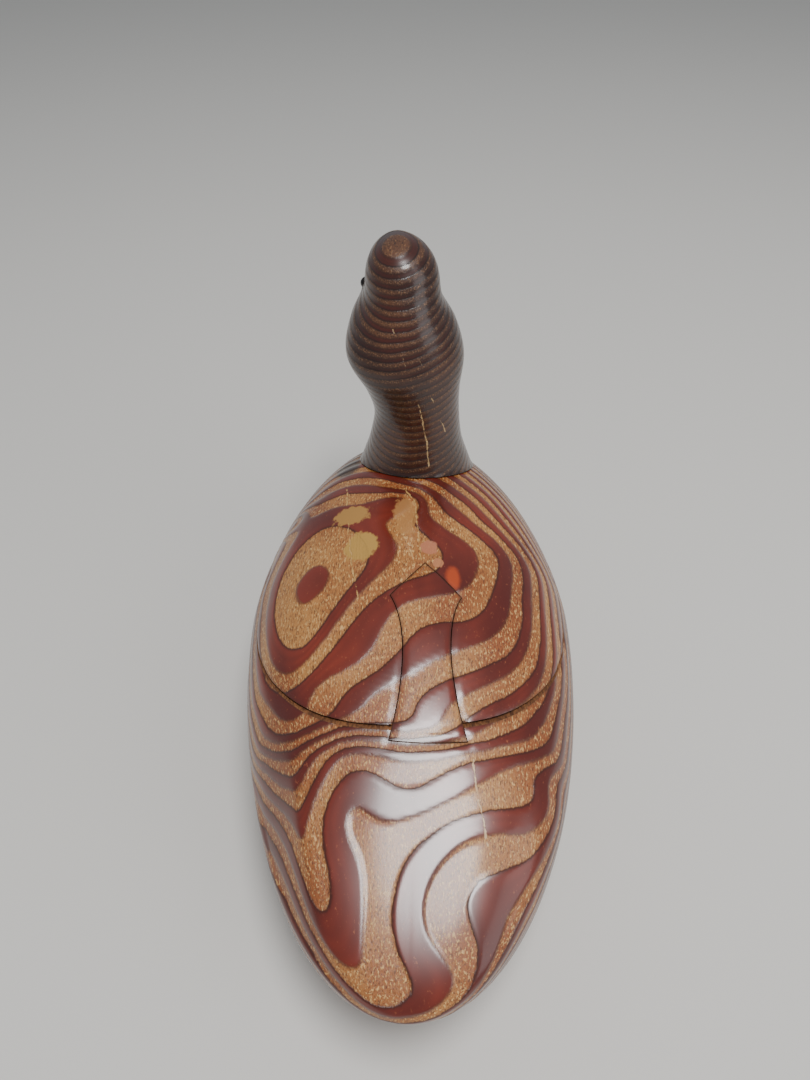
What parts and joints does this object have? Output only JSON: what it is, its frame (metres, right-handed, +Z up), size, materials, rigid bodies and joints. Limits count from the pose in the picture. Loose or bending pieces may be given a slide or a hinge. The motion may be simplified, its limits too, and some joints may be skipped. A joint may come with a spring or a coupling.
{
  "type": "carved wooden duck box",
  "caption": "Hollow carved duck decoy whose back, neck and head lift off as a lid, locked by a bow-tie key let in across the seam.",
  "frame": {"origin": "middle of the flat underside, on the surface the duck stands on", "axes": "+Z up, the bill towards -Y, the tail towards +Y, the duck's left side towards +X"},
  "size_m": [0.114, 0.2455, 0.161],
  "materials": {
    "duck_wood": "lacquered flat-sawn softwood, dark red latewood bands standing proud of tan earlywood",
    "key_wood": "lacquered softwood, same figure as the lid",
    "dark_wood": "dark brown lacquered softwood with fine level rings",
    "black_bead": "polished black bead"
  },
  "bodies": {
    "root": {"body": "duck_wood", "lid": "duck_wood", "locking_key": "key_wood", "head_and_neck": "dark_wood", "eye_left": "black_bead", "eye_right": "black_bead"}
  },
  "joints": []
}
